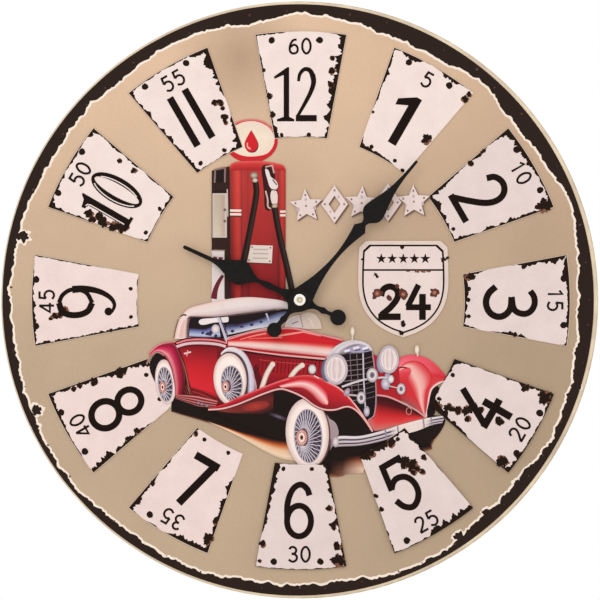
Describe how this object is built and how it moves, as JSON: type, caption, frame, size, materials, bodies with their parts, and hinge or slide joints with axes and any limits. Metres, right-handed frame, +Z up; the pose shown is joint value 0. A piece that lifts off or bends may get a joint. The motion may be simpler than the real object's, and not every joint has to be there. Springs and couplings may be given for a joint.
{
  "type": "wall clock",
  "caption": "Flat round printed wall clock with two black spade hands, a clamped quartz movement behind the board and a keyhole hanger.",
  "frame": {"origin": "where the axis of the hands meets the wall, on the rear face of the movement", "axes": "+Z up towards twelve, +X right seen from the front, dial faces -Y, wall behind at Y = 0"},
  "size_m": [0.34, 0.031, 0.34],
  "materials": {
    "board_mdf": "sealed fibreboard, cream edge",
    "printed_face": "matt lacquered print",
    "zinc_steel": "zinc plated strip",
    "rubber": "matt black",
    "brass": "turned",
    "nickel": "bright nickel",
    "case_plastic": "fine textured black",
    "white_plastic": "natural white",
    "motor_steel": "soft iron lamination",
    "copper_wire": "enamelled copper winding",
    "circuit_board": "green solder mask",
    "crystal_can": "tinned can",
    "black_resin": "gloss black resin",
    "contact_steel": "nickel plated spring strip",
    "gear_plastic": "natural acetal",
    "knob_plastic": "red moulded",
    "magnet": "sintered, dark",
    "hand_black": "satin black paint on thin aluminium",
    "battery_can": "bright drawn can",
    "battery_sleeve": "printed sleeve, no lettering"
  },
  "bodies": {
    "root": {"dial_board": "board_mdf", "dial_print": "printed_face", "hanger_plate": "zinc_steel", "rubber_washer": "rubber", "brass_washer": "brass", "dial_nut": "brass", "front_case": "case_plastic", "threaded_bushing": "brass", "rear_cover": "case_plastic", "gear_plate": "white_plastic", "stator_plate": "motor_steel", "coil_core": "motor_steel", "coil_bobbin": "white_plastic", "coil_winding": "copper_wire", "circuit_board": "circuit_board", "quartz_crystal": "crystal_can", "timing_chip": "black_resin", "battery_contact_positive": "contact_steel", "battery_contact_negative": "contact_steel"},
    "minute_shaft": {"minute_hand": "hand_black", "minute_hand_bush": "brass", "hand_nut": "nickel", "minute_pipe": "brass", "clutch_spring": "contact_steel"},
    "hour_shaft": {"hour_hand": "hand_black", "hour_hand_collet": "brass", "hour_wheel": "gear_plastic"},
    "minute_wheel_body": {"minute_wheel": "gear_plastic"},
    "setting_shaft": {"setting_knob": "knob_plastic", "setting_pinion": "gear_plastic"},
    "rotor_body": {"rotor_pinion": "gear_plastic", "rotor_magnet": "magnet"},
    "fifth_body": {"fifth_wheel": "gear_plastic"},
    "seconds_body": {"seconds_wheel": "gear_plastic"},
    "third_body": {"third_wheel": "gear_plastic"},
    "centre_body": {"centre_wheel": "gear_plastic"},
    "battery_body": {"battery_can": "battery_can", "battery_sleeve": "battery_sleeve"}
  },
  "joints": [
    {"name": "minute_turn", "type": "hinge", "parent": "root", "child": "minute_shaft", "pos_m": [0, 0, 0], "axis": [0, 1, 0], "continuous": true},
    {"name": "hour_turn", "type": "hinge", "parent": "root", "child": "hour_shaft", "pos_m": [0, 0, 0], "axis": [0, 1, 0], "continuous": true},
    {"name": "minute_wheel_turn", "type": "hinge", "parent": "root", "child": "minute_wheel_body", "pos_m": [-0.00869, 0, 0.00233], "axis": [0, 1, 0], "continuous": true},
    {"name": "setting_knob_turn", "type": "hinge", "parent": "root", "child": "setting_shaft", "pos_m": [-0.01685, 0, 0.00613], "axis": [0, 1, 0], "continuous": true},
    {"name": "rotor_turn", "type": "hinge", "parent": "root", "child": "rotor_body", "pos_m": [0.01161, 0, 0.0082], "axis": [0, 1, 0], "continuous": true},
    {"name": "fifth_wheel_turn", "type": "hinge", "parent": "root", "child": "fifth_body", "pos_m": [0.00922, 0, 0.00163], "axis": [0, 1, 0], "continuous": true},
    {"name": "seconds_wheel_turn", "type": "hinge", "parent": "root", "child": "seconds_body", "pos_m": [0, 0, 0], "axis": [0, 1, 0], "continuous": true},
    {"name": "third_wheel_turn", "type": "hinge", "parent": "root", "child": "third_body", "pos_m": [-0.00159, 0, 0.00904], "axis": [0, 1, 0], "continuous": true},
    {"name": "centre_wheel_turn", "type": "hinge", "parent": "root", "child": "centre_body", "pos_m": [0, 0, 0], "axis": [0, 1, 0], "continuous": true},
    {"name": "battery_slide", "type": "slide", "parent": "root", "child": "battery_body", "axis": [0, 1, 0], "range_m": [0, 0.02]}
  ],
  "couplings": [
    {"joint": "hour_turn", "follows": "minute_turn", "ratio": 0.083333},
    {"joint": "minute_wheel_turn", "follows": "minute_turn", "ratio": -0.33333},
    {"joint": "setting_knob_turn", "follows": "minute_turn", "ratio": 1},
    {"joint": "fifth_wheel_turn", "follows": "rotor_turn", "ratio": -0.16667},
    {"joint": "seconds_wheel_turn", "follows": "rotor_turn", "ratio": 0.033333},
    {"joint": "third_wheel_turn", "follows": "rotor_turn", "ratio": -0.0044444},
    {"joint": "centre_wheel_turn", "follows": "rotor_turn", "ratio": 0.00055556}
  ]
}
